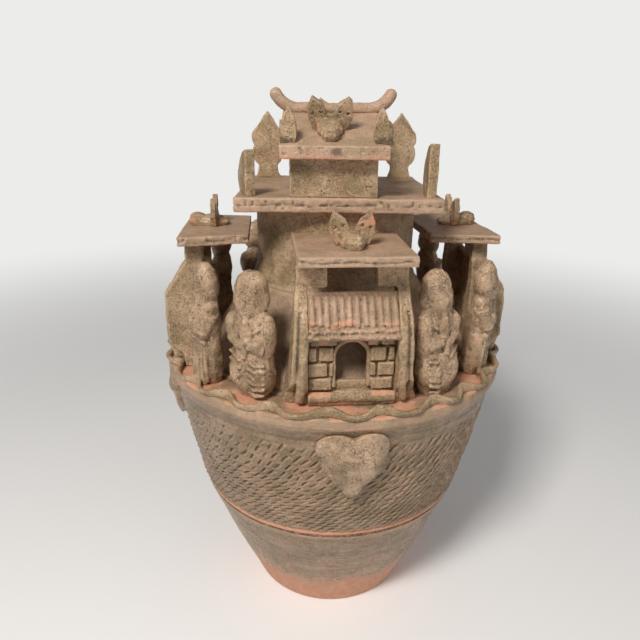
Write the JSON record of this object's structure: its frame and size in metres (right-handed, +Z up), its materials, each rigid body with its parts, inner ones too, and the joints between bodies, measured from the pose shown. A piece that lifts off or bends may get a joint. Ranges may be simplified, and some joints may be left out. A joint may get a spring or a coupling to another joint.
{
  "type": "lidded funerary jar",
  "caption": "Lidded stoneware tomb jar with gate towers, moulded figures and doves on its shoulder and a roofed pavilion on its lift-off lid.",
  "frame": {"origin": "middle of the foot, on the plane that the jar stands on", "axes": "+Z up along the jar's axis, -Y out through the front gate tower, +X to the right of it"},
  "size_m": [0.2932, 0.2932, 0.4414],
  "materials": {
    "impressed_glaze": "olive-tan speckled ash glaze over impressed clay, thin and bare at the foot",
    "slab_glaze": "olive-tan speckled ash glaze on rolled slabs",
    "moulded_glaze": "crackled olive-tan glaze on press-moulded clay",
    "matt_glaze": "thin matt pinkish-beige glaze",
    "bare_clay": "bare orange-pink fired clay"
  },
  "bodies": {
    "jar": {"jar_body": "impressed_glaze", "shoulder": "bare_clay", "neck": "slab_glaze", "frill": "slab_glaze", "heart_boss_front": "moulded_glaze", "heart_boss_right": "moulded_glaze", "heart_boss_back": "moulded_glaze", "heart_boss_left": "moulded_glaze", "front_right_piper": "moulded_glaze", "front_right_attendant": "moulded_glaze", "back_right_piper": "moulded_glaze", "back_right_attendant": "moulded_glaze", "back_left_piper": "moulded_glaze", "back_left_attendant": "moulded_glaze", "front_left_piper": "moulded_glaze", "front_left_attendant": "moulded_glaze", "front_tower_left_post": "slab_glaze", "front_tower_right_post": "slab_glaze", "front_gate_wall": "slab_glaze", "front_gate_sill": "slab_glaze", "front_gate_tiles": "matt_glaze", "front_tower_roof": "matt_glaze", "front_tower_dove": "slab_glaze", "right_tower_left_post": "slab_glaze", "right_tower_right_post": "slab_glaze", "right_gate_wall": "slab_glaze", "right_gate_sill": "slab_glaze", "right_gate_tiles": "matt_glaze", "right_tower_roof": "matt_glaze", "right_tower_dove": "slab_glaze", "back_tower_left_post": "slab_glaze", "back_tower_right_post": "slab_glaze", "back_gate_wall": "slab_glaze", "back_gate_sill": "slab_glaze", "back_gate_tiles": "matt_glaze", "back_tower_roof": "matt_glaze", "back_tower_dove": "slab_glaze", "left_tower_left_post": "slab_glaze", "left_tower_right_post": "slab_glaze", "left_gate_wall": "slab_glaze", "left_gate_sill": "slab_glaze", "left_gate_tiles": "matt_glaze", "left_tower_roof": "matt_glaze", "left_tower_dove": "slab_glaze"},
    "lid": {"lid_platform": "matt_glaze", "lid_locating_ring": "bare_clay", "pavilion_walls": "slab_glaze", "pavilion_roof": "matt_glaze", "roof_ridge": "matt_glaze", "roof_finials": "slab_glaze", "front_roof_dove": "slab_glaze", "rear_roof_dove": "slab_glaze", "front_left_corner_slab": "slab_glaze", "front_right_corner_slab": "slab_glaze", "back_left_corner_slab": "slab_glaze", "back_right_corner_slab": "slab_glaze"}
  },
  "joints": [
    {"name": "lid_lift", "type": "slide", "parent": "jar", "child": "lid", "axis": [0, 0, 1], "range_m": [0, 0.1]}
  ]
}
